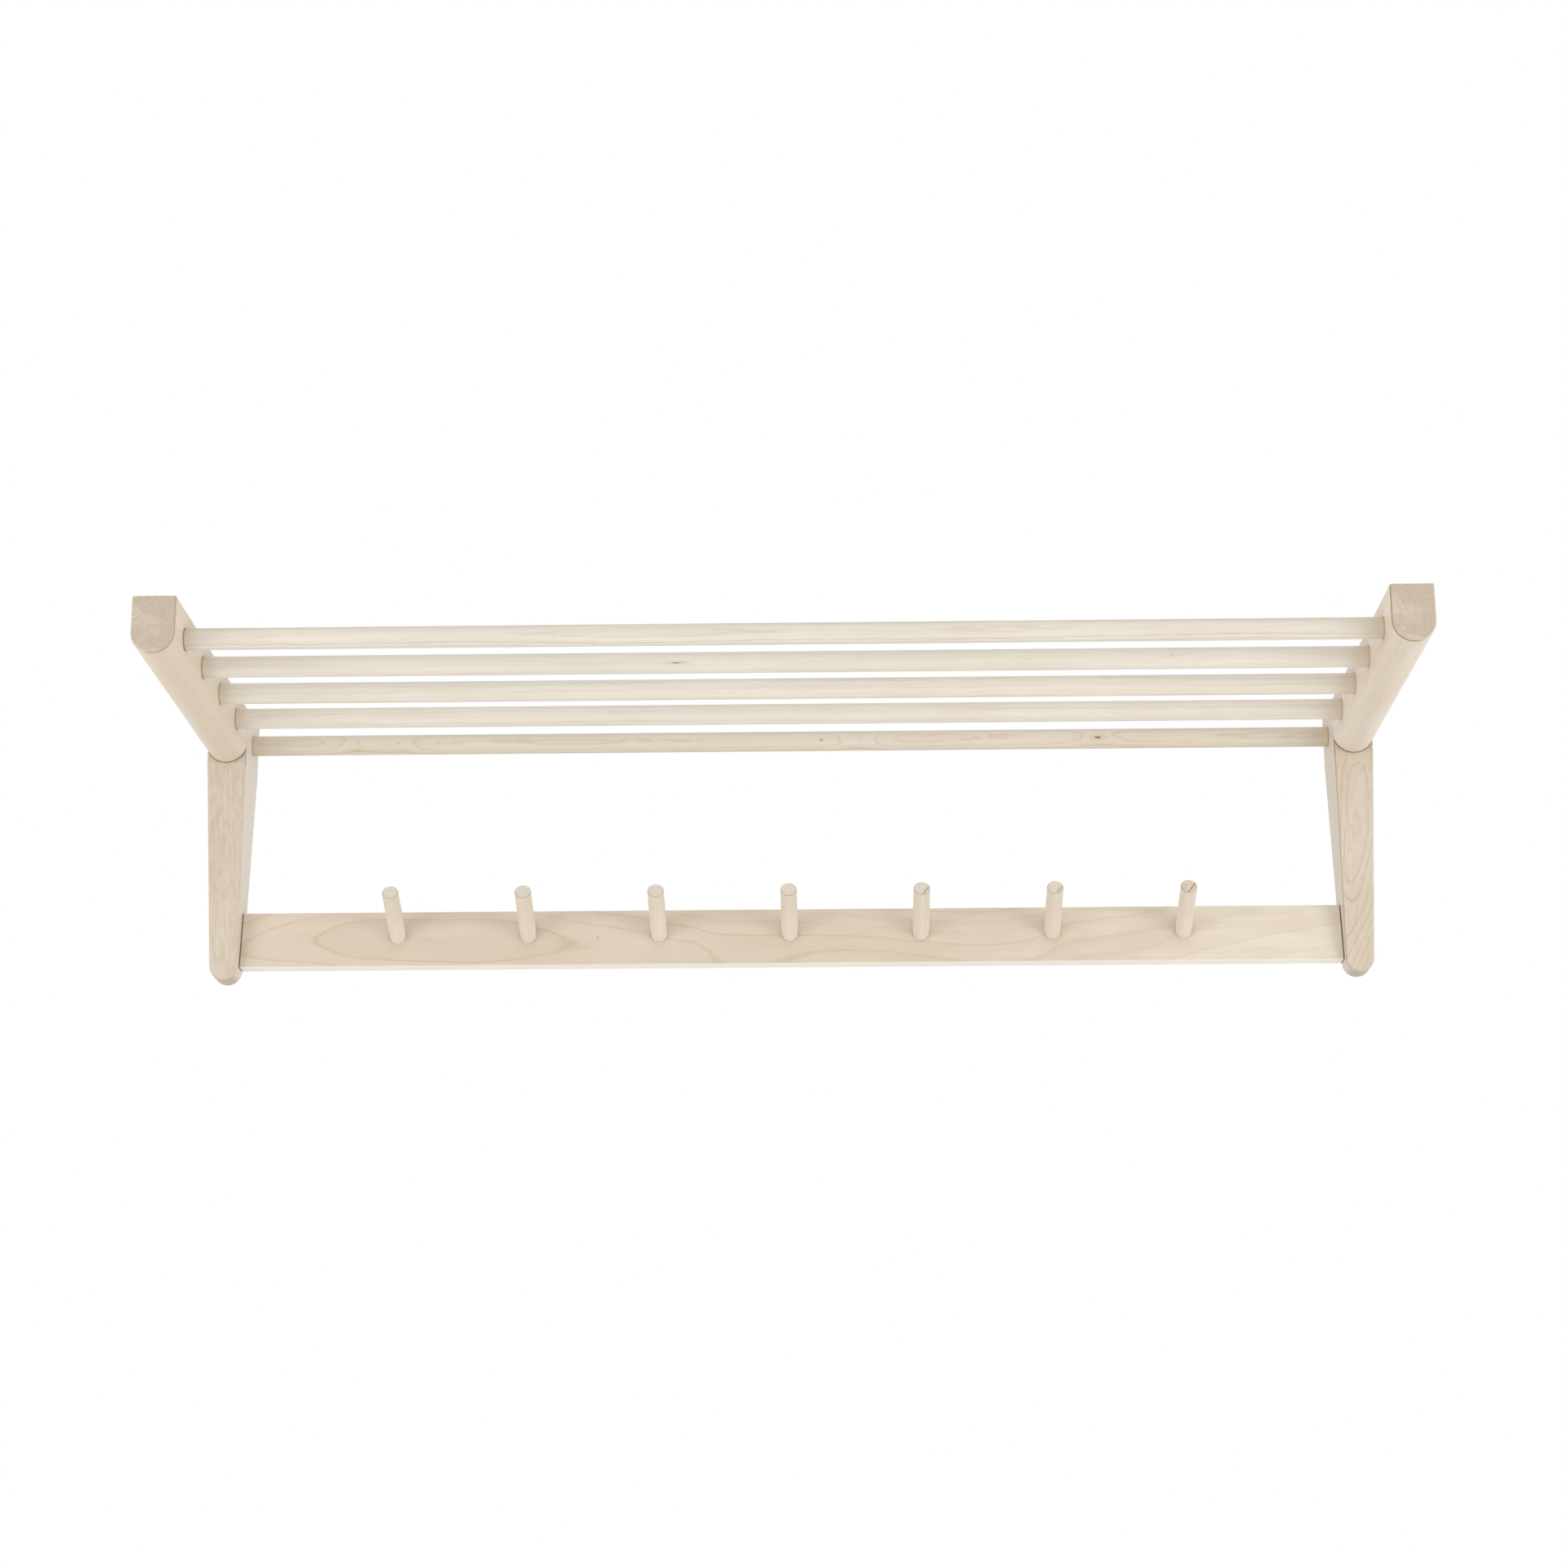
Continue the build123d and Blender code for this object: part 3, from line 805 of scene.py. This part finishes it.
def makeScrewTree(takes):
    # countersunk head with a cross, plain neck, cut thread
    tree, size, given = newTree("plateScrews", takes)
    # outline of the screw, point by point: how far down it is and how wide
    steps = [(0.0, 1.0), (0.02, 1.0), (0.12, 0.43), (0.77, 0.43), (0.97, 0.1), (1.0, 0.02)]
    last = len(steps) - 1
    core = shape("MeshCylinder", {"Vertices": 40, "Side Segments": last, "Fill Segments": 2,
        "Radius": size["Head Radius"], "Depth": size["Length"]})
    x, y, z = split(here())
    part = 0.5 - z / size["Length"]
    down, wide = [curve(part, [(number / last, step[column]) for number, step in enumerate(steps)], "VECTOR")
        for column in (0, 1)]
    core = setPlace(core, triple(x * wide, y * wide, down * size["Length"] * -1.0))
    # the cross in the head
    span, width, deep = size["Cross Span"], size["Cross Width"], size["Cross Depth"] * 2.0
    bars = [shape("MeshCube", {"Size": triple(*sides, deep)}) for sides in ((span, width), (width, span))]
    cut = addNode("GeometryNodeMeshBoolean", {"Mesh 1": core}, operation="DIFFERENCE", solver="EXACT")
    for bar in bars:
        feed(cut.inputs["Mesh 2"], bar)
    # the thread: a small triangle led along a helix, thinning out towards the tip
    threadFrom, threadRun = -0.22, -0.55   # parts of the length, downwards
    helix = shape("CurveSpiral", {"Resolution": 20, "Rotations": size["Thread Turns"],
        "Start Radius": size["Neck Radius"], "End Radius": size["Neck Radius"],
        "Height": size["Length"] * threadRun})
    helix = moved(helix, triple(z=size["Length"] * threadFrom))
    ridge = size["Thread Radius"] - size["Neck Radius"]
    ridge = shape("CurvePrimitiveCircle", {"Resolution": 3, "Radius": ridge})
    thin = ramp(shape("SplineParameter"), 0.7, 1.0, 1.0, 0.35)
    thread = shape("CurveToMesh", {"Curve": helix, "Profile Curve": ridge, "Scale": thin, "Fill Caps": True})
    screw = turned(smoothSides(joined(Wire(cut.outputs[0]), thread), (0, 0, 1)), x=-quarterTurn)
    # one at each corner of a grid on the wall plane
    grid = shape("MeshGrid", {"Size X": size["Plate Spacing"], "Size Y": size["Screw Spacing"],
        "Vertices X": 2, "Vertices Y": 2})
    grid = moved(turned(grid, x=quarterTurn), triple(z=size["Middle Z"]))
    finishShape(given, shape("InstanceOnPoints", {"Points": grid, "Instance": screw}), size["Steel"])
    return tree


rodTree = makeRodTree()
print("rod shape built")

armLook = {
    "left": {"seed": 3.1, "heart": (52.0, -74.0), "inner": 1.0, "rim": 0.75, "seatLine": 0.85, "rayAngle": 38,
        "flecks": 0.2, "colours": {"pale": srgb(221, 207, 188)}},
    "right": {"seed": 8.6, "heart": (74.0, 51.0), "inner": -1.0, "rim": 1.0, "seatLine": 0.45,
        "rayAngle": 122, "flecks": 0.5, "fleckLength": 22.0, "colours": {"pale": srgb(226, 214, 199)}},
    "turn": (0, 0, 90), "grain": (0, 1, 0), "ringWidth": 2.6, "sway": 2.2, "swayLength": 130.0, "jitter": 1.2,
    "clouds": 0.6, "tones": 0.12, "streaks": 0.26, "fibres": 0.15, "rings": 0.12,
    "endRings": 0.25, "mottle": 0.4, "pores": 0.04, "rays": 0.62, "bump": 0.1, "handSanding": 0.3,
    "sockets": 4, "sizes": {"Width": 27.5, "Height": 37.5, "Length": 241.85, "Front": -287.0, "Top Z": 56.0,
        "Top Ease": 1.3, "End Ease": 1.1, "Socket Radius": 6.95, "Socket Depth": 15.3,
        "First Socket": -256.0, "Socket Pitch": 57.3, "Socket Z": 37.5, "Dowel Radius": 4.1,
        "Dowel Depth": 15.3, "Dowel Spacing": 18.0},
}
armInputs = {**inMetres(armLook["sizes"]), "Sockets": armLook["sockets"], "Middle X": 0.0, "Inner Side": 1.0,
    "Hand Sanding": armLook["handSanding"], "Wood": None}
armTree = makeArmTree(armInputs)
for side in ("left", "right"):
    look = {**armLook, **armLook[side]}
    sizes, middle = look["sizes"], middleOf(side + "_arm")
    look["middle"] = tuple(middle)
    look["seats"] = {"along": "Y", "level": sizes["Socket Z"], "first": sizes["First Socket"],
        "pitch": sizes["Socket Pitch"], "count": look["sockets"], "radius": sizes["Socket Radius"],
        "line": 0.7, "lineStrength": look["seatLine"], "shadowReach": 5.0, "shadowStrength": 0.2,
        "facing": (look["inner"], 0, 0)}
    look["seams"] = [{"axis": "Y", "at": sizes["Front"] + sizes["Length"], "width": 1.2, "strength": 0.7}]
    look["rimSide"] = (look["inner"], 0, -0.7)
    inputs = {**armInputs, "Middle X": middle.x, "Inner Side": look["inner"]}
    inputs["Wood"] = woodMaterial(side + "ArmWood", look)
    makePiece(side + "Arm", armTree, inputs, [side + "_arm"])

uprightLook = {
    "left": {"seed": 5.4, "heart": (0.0, 80.0), "ringWidth": 3.4, "rings": 0.3, "x": -386.25, "streaks": 0.6,
        "fibres": 0.26, "edges": (1, 0.15), "paintedSideLight": ((1, 0, 0), 0.8)},
    "right": {"seed": 2.0, "heart": (0.0, 0.0), "ringWidth": 3.0, "rings": 0.6, "x": 386.25,
        "halfLength": 92.25, "edges": (-1, 0.6), "paintedSideLight": ((1, 0, 0), 0.45), "heartPath": {
            "Heart Y": [(0.0, -15.0), (0.09, -16.2), (0.175, -17.5), (0.256, -18.6), (0.32, -18.0),
                (0.43, -19.8), (0.53, -22.1), (0.74, -31.3), (0.78, -34.0), (1.0, -38.0)],
            "Heart Z": [(0.0, 20.0), (0.09, 14.0), (0.175, 8.0), (0.256, 4.0), (0.32, 4.5), (0.43, 1.4),
                (0.53, -1.3), (0.74, -2.5), (1.0, -5.0)]}},
    "turn": (0, 90, 0), "grain": (0, 0, 1), "sway": 1.0, "swayLength": 70.0,
    "clouds": 0.7, "tones": 0.25, "streaks": 0.4, "fibres": 0.2, "flecks": 0.16, "rim": 0.12,
    "colours": {"pale": srgb(213, 202, 187), "warm": srgb(202, 187, 168), "streak": srgb(190, 173, 151),
        "ring": srgb(170, 148, 122)},
    "armLevel": 32.25, "armRadius": 13.85, "shoulder": -45.0,
}
for side in ("left", "right"):
    look = {**uprightLook, **uprightLook[side]}
    look["middle"] = tuple(middleOf(side + "_upright"))
    # dark line where the arm's round underside meets the front, and up the side of the joint, with a painted
    # shadow round the underside
    look["seats"] = {"along": "X", "level": look["armLevel"], "first": look["x"], "pitch": 1000.0, "count": 1,
        "radius": look["armRadius"], "line": 0.55, "shadowReach": 4.0, "lineStrength": 0.9, "shadowStrength": 0.2,
        "facing": (0, -1, 0)}
    look["seams"] = [{"axis": "Y", "at": look["shoulder"], "width": 2.6, "strength": 0.8,
        "facing": (1, 0, 0)}]
    dress(side + "_upright", woodMaterial(side + "UprightWood", look))
print("uprights dressed")

railLook = {
    "seed": 4.7, "heart": (0.0, 0.0), "ringWidth": 5.5, "sway": 2.5, "swayLength": 120.0, "jitter": 0.6,
    "turn": (90, 0, 0), "grain": (1, 0, 0), "halfLength": 377.0, "heartPath": {
        "Heart Y": [(0.0, 6.0), (0.07, 1.0), (0.19, 1.0), (0.27, 3.0), (0.315, 7.0), (0.36, 9.0),
            (0.41, 14.0), (0.46, 16.0), (0.57, 24.0), (0.63, 27.0), (0.69, 26.0), (0.76, 12.0), (0.8, 8.0),
            (0.86, -4.0), (0.95, -20.0), (1.0, -26.0)],
        "Heart Z": [(0.0, -36.2), (0.07, -30.7), (0.19, -25.3), (0.27, -28.5), (0.315, -30.7), (0.36, -31.5),
            (0.41, -32.5), (0.46, -35.8), (0.57, -33.0), (0.69, -35.0), (0.8, -35.0), (1.0, -35.0)]},
    "clouds": 0.6, "tones": 0.2, "streaks": 0.2, "fibres": 0.12, "flecks": 0.12, "rings": 0.6, "rim": 0.3,
    "paintedLightTowards": (0.0, 377.0, 0.75, 0.4), "paintedSideLight": ((0, 0, 1), 0.9),
    "colours": {"pale": srgb(214, 201, 184), "warm": srgb(204, 188, 168), "light": srgb(230, 221, 208),
        "sideLightPaint": srgb(245, 238, 228)},
    "knots": [{"spot": (-131.6, 0.0, -7.0), "size": 0.55, "stretch": 1.0}],
    "seats": {"along": "X", "level": -97.2, "squash": math.cos(math.radians(25)), "first": -269.0,
        "pitch": 89.6667, "count": 7, "radius": 5.75, "line": 0.4, "lineStrength": 0.3, "shadowReach": 5.0,
        "shadowStrength": 0.2, "facing": (0, -1, 0)},
    "endAt": 373.226, "endLean": 0.03382,
}
railLook["middle"] = tuple(middleOf("peg_rail"))
railLook["seams"] = [{"axis": "X", "at": side * railLook["endAt"], "lean": side * railLook["endLean"],
    "width": 0.75, "strength": 0.9} for side in (-1, 1)]
dress("peg_rail", woodMaterial("railWood", railLook))
print("peg rail dressed")

barLook = {
    "rods": True, "ringWidth": 3.4, "sway": 2.0, "swayLength": 170.0, "jitter": 0.9, "heart": (0.0, 0.0),
    "hearts": [(1.0, -26.0), (23.0, -29.0), (-26.0, -30.0), (14.0, -31.0), (1.0, -21.0)], "grain": (1, 0, 0),
    "clouds": 0.55, "tones": 0.2, "streaks": 0.22, "fibres": 0.12, "flecks": 0.14, "rings": 0.32, "rim": 0.3,
    "figured": [(1, 2.4, 1.5), (5, 4.4, 3.0)], "darkRods": (4.1, 5.0, 0.36),
    # painted shade beside the sockets: from, to, reach at each end, strength
    "socketShadow": (15.0, 760.0, 13.0, 19.0, 0.7), "collar": {"width": 0.8, "strength": 0.8,
        "depths": [(1.0, 0.4), (0.75, 0.3), (0.35, 0.3), (0.7, 0.3), (0.3, 0.3)]},
    "colours": {"pale": srgb(227, 221, 209), "warm": srgb(219, 210, 195), "streak": srgb(204, 190, 171)},
    "armBars": 4, "sizes": {"First Y": -256.0, "Pitch": 57.3, "Rear Y": -18.5, "Level": 37.5, "Length": 775.0,
        "Radius": 6.85, "Ease": 0.5, "Hand Sanding": 0.09},
    "knots": [
        {"rod": 2, "spot": (319.0, 2.0, -6.5), "size": 0.4, "stretch": 9.0, "depth": 0.8},
        {"rod": 2, "spot": (634.0, 0.0, -6.8), "size": 0.7, "stretch": 1.0, "depth": 0.22, "push": 3.5,
            "pushSize": 8.0},
        {"rod": 5, "spot": (88.0, 0.0, -6.8), "size": 0.7, "depth": 0.25, "push": 5.5, "pushSize": 9.0},
        {"rod": 5, "spot": (117.0, 1.0, -6.8), "size": 0.7, "depth": 0.25, "push": 5.0, "pushSize": 8.0},
        {"rod": 5, "spot": (410.0, 1.0, -6.8), "size": 0.7, "stretch": 1.2},
        {"rod": 5, "spot": (437.0, 0.0, -6.8), "size": 0.6, "depth": 0.1, "push": 5.5, "pushSize": 9.0},
        {"rod": 5, "spot": (601.0, 1.0, -6.8), "size": 0.9, "stretch": 3.0, "push": 3.0, "pushSize": 7.0}],
}
inputs = {**inMetres(barLook["sizes"]), "Arm Bars": barLook["armBars"], "Wood": None}
barTree = makeBarTree(inputs)
inputs["Wood"] = woodMaterial("barWood", barLook)
makePiece("shelfBars", barTree, inputs, [f"shelf_bar_{number}" for number in range(1, 6)])

pegLook = {
    "rods": True, "ringWidth": 3.0, "sway": 1.4, "swayLength": 90.0, "heart": (-14.0, -26.0),
    "hearts": [(6.0, 4.0), (12.0, 8.0), (20.0, 3.0), (24.0, 16.0), (9.0, -4.0), (36.0, 24.0), (42.0, 10.0)],
    "clouds": 0.5, "tones": 0.15, "streaks": 0.2, "fibres": 0.1, "flecks": 0.14, "rings": 0.14, "rim": 0.6,
    "paintedLightTowards": (48.0, 14.0, 0.6, 1.0), "endRings": 0.35, "mottle": 0.2, "mottledRod": (7, 0.6),
    "colours": {"pale": srgb(219, 207, 191), "warm": srgb(213, 200, 183), "light": srgb(231, 223, 210),
        "end": srgb(222, 212, 197), "endRing": srgb(192, 175, 153)},
    "pegs": 7, "lean": 25.0, "sizes": {"Pitch": 89.6667, "Face Y": -14.0, "Level": -97.2, "Reach": 47.0,
        "Seat": 10.0, "Radius": 5.75, "Tip Radius": 5.5, "Tip Ease": 0.8, "Hand Sanding": 0.08},
    "splitAngle": 0.96, "splits": [{"rod": 5, "width": 0.65, "start": -4.5, "offset": 3.3, "stain": 0.0},
        {"rod": 6, "width": 0.3, "start": -4.0, "offset": 2.9, "stain": 0.25},
        {"rod": 7, "width": 0.75, "start": -6.0, "offset": 2.2, "stain": 0.0}],
}
pegLean = math.radians(pegLook["lean"])
pegLook["grain"] = (0, -math.cos(pegLean), math.sin(pegLean))
inputs = {**inMetres(pegLook["sizes"]), "Pegs": pegLook["pegs"], "Lean": pegLean, "Wood": None}
pegTree = makePegTree(inputs)
inputs["Wood"] = woodMaterial("pegWood", pegLook)
makePiece("pegRow", pegTree, inputs, [f"peg_{number}" for number in range(1, 8)])

# hidden joint dowels: fluted beech
dowelLook = {
    "rods": True, "ringWidth": 2.5, "sway": 0.6, "swayLength": 60.0, "heart": (-20.0, -20.0),
    "clouds": 0.5, "tones": 0.3, "streaks": 0.4, "fibres": 0.3, "flecks": 0.5, "rings": 0.2, "rim": 0.0,
    "colours": {"pale": srgb(226, 202, 168), "warm": srgb(214, 186, 148), "streak": srgb(200, 168, 130)},
    "arm": {"turn": (-quarterTurn, 0, 0), "grain": (0, 1, 0), "sizes": {"Length": 30.0, "Radius": 4.0}},
    "rail": {"turn": (0, quarterTurn, 0), "grain": (1, 0, 0), "sizes": {"Length": 22.0, "Radius": 3.0}},
    "flutes": 14.0, "shared": {"Spacing": 18.0, "Ease": 0.8, "Flute Depth": 0.3},
}
dowelInputs = {**inMetres(dowelLook["shared"]), **inMetres(dowelLook["arm"]["sizes"]), "Middle": origin,
    "Turn": origin, "Flutes": dowelLook["flutes"], "Wood": None}
dowelTree = makeDowelTree(dowelInputs)
for kind in ("arm", "rail"):
    look = {**dowelLook, **dowelLook[kind]}
    inputs = {**dowelInputs, **inMetres(look["sizes"]), "Turn": look["turn"]}
    inputs["Wood"] = woodMaterial(kind + "DowelWood", look)
    for side in ("left", "right"):
        node = f"{side}_{kind}_dowels"
        inputs["Middle"] = tuple(middleOf(node))
        makePiece(f"{side}{kind.capitalize()}Dowels", dowelTree, inputs, [node])

# keyhole plates and their screws
zinc = zincMaterial()
for side in ("left", "right"):
    dress(side + "_keyhole_plate", zinc)
screwLook = {
    "low": -10.75, "high": 18.5, "threadTurns": 7.0,
    "sizes": {"Plate Spacing": 772.5, "Length": 13.0, "Head Radius": 2.8, "Neck Radius": 1.2,
        "Thread Radius": 1.5, "Cross Span": 3.0, "Cross Width": 0.7, "Cross Depth": 0.9},
}
inputs = {**inMetres(screwLook["sizes"]), "Thread Turns": screwLook["threadTurns"],
    "Screw Spacing": (screwLook["high"] - screwLook["low"]) * mm,
    "Middle Z": (screwLook["high"] + screwLook["low"]) / 2 * mm, "Steel": None}
screwTree = makeScrewTree(inputs)
makePiece("plateScrews", screwTree, {**inputs, "Steel": zinc}, ["plate_screws"])


roomLook = {
    "floorDrop": 1.7,            # rack hangs this far above the floor, metres
    "floorSpan": 18.0,
    "floorColour": srgb(244, 243, 241),
    "skyStrength": 0.8,
    "lamps": {   # place, target, size and power
        "rightSoftbox": ((1.5, -1.0, -0.4), (0.2, -0.1, -0.05), (0.8, 0.8), 9.5),
        "leftSoftbox": ((-1.5, -1.0, -0.4), (-0.2, -0.1, -0.05), (0.8, 0.8), 8.0),
        "topSoftbox": ((0, -1.2, 1.5), (0, -0.1, 0), (1.2, 1.0), 3.0),
        "lowSoftbox": ((0, -1.0, -1.45), (0, -0.1, -0.05), (1.2, 0.8), 3.0),
    },
}


def makeFloor():
    mesh = bpy.data.meshes.new("floor")
    half, z = roomLook["floorSpan"] / 2, -roomLook["floorDrop"]
    corners = [(-half, -half, z), (half, -half, z), (half, half, z), (-half, half, z)]
    mesh.from_pydata(corners, [], [(0, 1, 2, 3)])
    mesh.materials.append(openNodes(bpy.data.materials.new("floorPaint")))
    floor = addObject("floor", mesh)
    addSurface({"Base Color": roomLook["floorColour"], "Roughness": 0.9, "Specular IOR Level": 0.1})


def makeSky():
    # white where it is seen, dimmer where it lights
    bpy.context.scene.world = openNodes(bpy.data.worlds.new("whiteRoom"))
    rays = addNode("ShaderNodeLightPath").outputs
    camera, glossy, through = [Wire(rays[f"Is {kind} Ray"]) for kind in ("Camera", "Glossy", "Transmission")]
    seen = calc("MAXIMUM", camera, calc("MAXIMUM", glossy, through))
    strength = ramp(seen, 0, 1, roomLook["skyStrength"], 1.0, smooth=False)
    sky = place("ShaderNodeBackground", {"Color": (1, 1, 1, 1), "Strength": strength})
    addNode("ShaderNodeOutputWorld", {0: sky})


def makeLamp(name, spot, target, size, power):
    lamp = bpy.data.lights.new(name, "AREA")
    lamp.shape, lamp.size, lamp.size_y, lamp.energy = "RECTANGLE", size[0], size[1], power
    holder = addObject(name, lamp)
    holder.location = spot
    holder.rotation_euler = (Vector(target) - Vector(spot)).to_track_quat("-Z", "Y").to_euler()
    holder.visible_camera = False


makeFloor()
makeSky()
for name, lamp in roomLook["lamps"].items():
    makeLamp(name, *lamp)

cameraLook = {"place": (0.035373, -2.114066, -0.579665), "yaw": -0.01856, "pitch": 0.27287, "roll": -0.00366,
    "lens": 72.20, "sensor": 36.0}


def makeCamera():
    data = bpy.data.cameras.new("camera")
    data.sensor_fit, data.sensor_width, data.lens = "AUTO", cameraLook["sensor"], cameraLook["lens"]
    data.clip_end = 50
    camera = addObject("camera", data)
    yaw, pitch, roll = cameraLook["yaw"], cameraLook["pitch"], cameraLook["roll"]
    ahead = Vector((math.sin(yaw) * math.cos(pitch), math.cos(yaw) * math.cos(pitch), math.sin(pitch)))
    right = Vector((math.cos(yaw), -math.sin(yaw), 0))
    up = right.cross(ahead)
    sideways = right * math.cos(roll) + up * math.sin(roll)
    upward = up * math.cos(roll) - right * math.sin(roll)
    turn = Matrix((sideways, upward, -ahead)).transposed()
    camera.matrix_world = Matrix.Translation(cameraLook["place"]) @ turn.to_4x4()
    bpy.context.scene.camera = camera


makeCamera()
bpy.context.scene.view_settings.view_transform = "Standard"
print("room, lamps and camera set")

for tree in bpy.data.node_groups:
    arrange(tree)
for material in bpy.data.materials:
    if material.use_nodes:
        arrange(material.node_tree)
print("node trees laid out")
